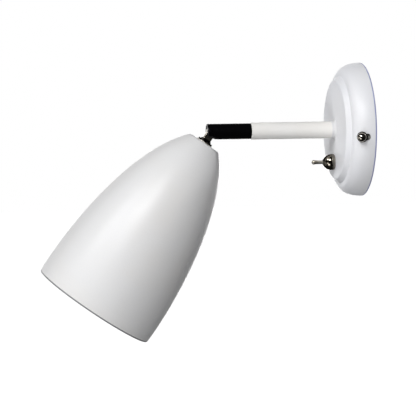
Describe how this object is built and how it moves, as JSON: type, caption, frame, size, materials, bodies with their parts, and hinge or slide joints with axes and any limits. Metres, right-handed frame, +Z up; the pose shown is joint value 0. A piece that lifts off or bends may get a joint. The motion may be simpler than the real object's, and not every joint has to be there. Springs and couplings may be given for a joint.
{
  "type": "adjustable wall light",
  "caption": "Round domed canopy with a toggle switch, a straight arm, a slotted swivel barrel and a tilting bell-shaped metal shade with a globe lamp inside.",
  "frame": {"origin": "centre of the wall bracket's back, on the wall plane, on the arm's axis", "axes": "+Y into the wall, against the arm's direction; +Z up; +X to the right seen from the wall out, the side the nearer cap nut is on"},
  "size_m": [0.108, 0.2414, 0.206],
  "materials": {
    "white_enamel": "semi-gloss baked enamel",
    "black_enamel": "gloss baked enamel",
    "zinc_steel": "bright zinc plate",
    "bright_chrome": "polished plate",
    "brass": "turned brass",
    "dark_moulding": "moulded phenolic",
    "white_moulding": "moulded, matt",
    "lead_sleeve": "smooth sleeve",
    "opal_diffuser": "opal diffuser"
  },
  "bodies": {
    "base": {"canopy": "white_enamel", "wall_bracket": "zinc_steel", "side_stud_right": "zinc_steel", "side_stud_left": "zinc_steel", "cap_nut_right": "bright_chrome", "cap_nut_left": "bright_chrome", "arm_tube": "white_enamel", "arm_nipple": "zinc_steel", "arm_washer": "zinc_steel", "arm_lock_nut": "zinc_steel", "swivel_spigot": "brass", "switch_body": "dark_moulding", "switch_bushing": "bright_chrome", "switch_back_nut": "zinc_steel", "switch_washer": "bright_chrome", "switch_front_nut": "bright_chrome", "switch_terminals": "brass", "terminal_block": "white_moulding", "terminal_screws": "brass", "block_screw": "zinc_steel", "earth_screw": "brass", "earth_tag": "brass", "arm_leads": "lead_sleeve", "switch_leads": "lead_sleeve"},
    "lever": {"switch_lever": "bright_chrome"},
    "swivel": {"swivel_barrel": "black_enamel", "stop_screw": "zinc_steel", "pivot_pin": "zinc_steel", "friction_washers": "zinc_steel", "barrel_leads": "lead_sleeve"},
    "head": {"tilt_knuckle": "bright_chrome", "knurled_ring": "bright_chrome", "toothed_washer": "black_enamel", "shade": "white_enamel", "shade_washer": "zinc_steel", "shade_nut": "zinc_steel", "holder_cap": "dark_moulding", "holder_skirt": "dark_moulding", "holder_base": "white_moulding", "screw_shell": "brass", "centre_contact": "brass", "holder_screws": "brass", "head_leads": "lead_sleeve", "lamp_globe": "opal_diffuser", "lamp_housing": "white_moulding", "lamp_cap": "zinc_steel", "lamp_insulator": "dark_moulding", "lamp_tip": "brass"}
  },
  "joints": [
    {"name": "barrel_spin", "type": "hinge", "parent": "base", "child": "swivel", "pos_m": [0, -0.1, 0], "axis": [0, -1, 0], "range_deg": [-150, 150]},
    {"name": "shade_tilt", "type": "hinge", "parent": "swivel", "child": "head", "pos_m": [0, -0.1135, 0], "axis": [1, 0, 0], "range_deg": [-55.5, 34.5]},
    {"name": "lever_throw", "type": "hinge", "parent": "base", "child": "lever", "pos_m": [0, -0.0255, -0.0244], "axis": [1, 0, 0], "range_deg": [-9, 9]}
  ]
}
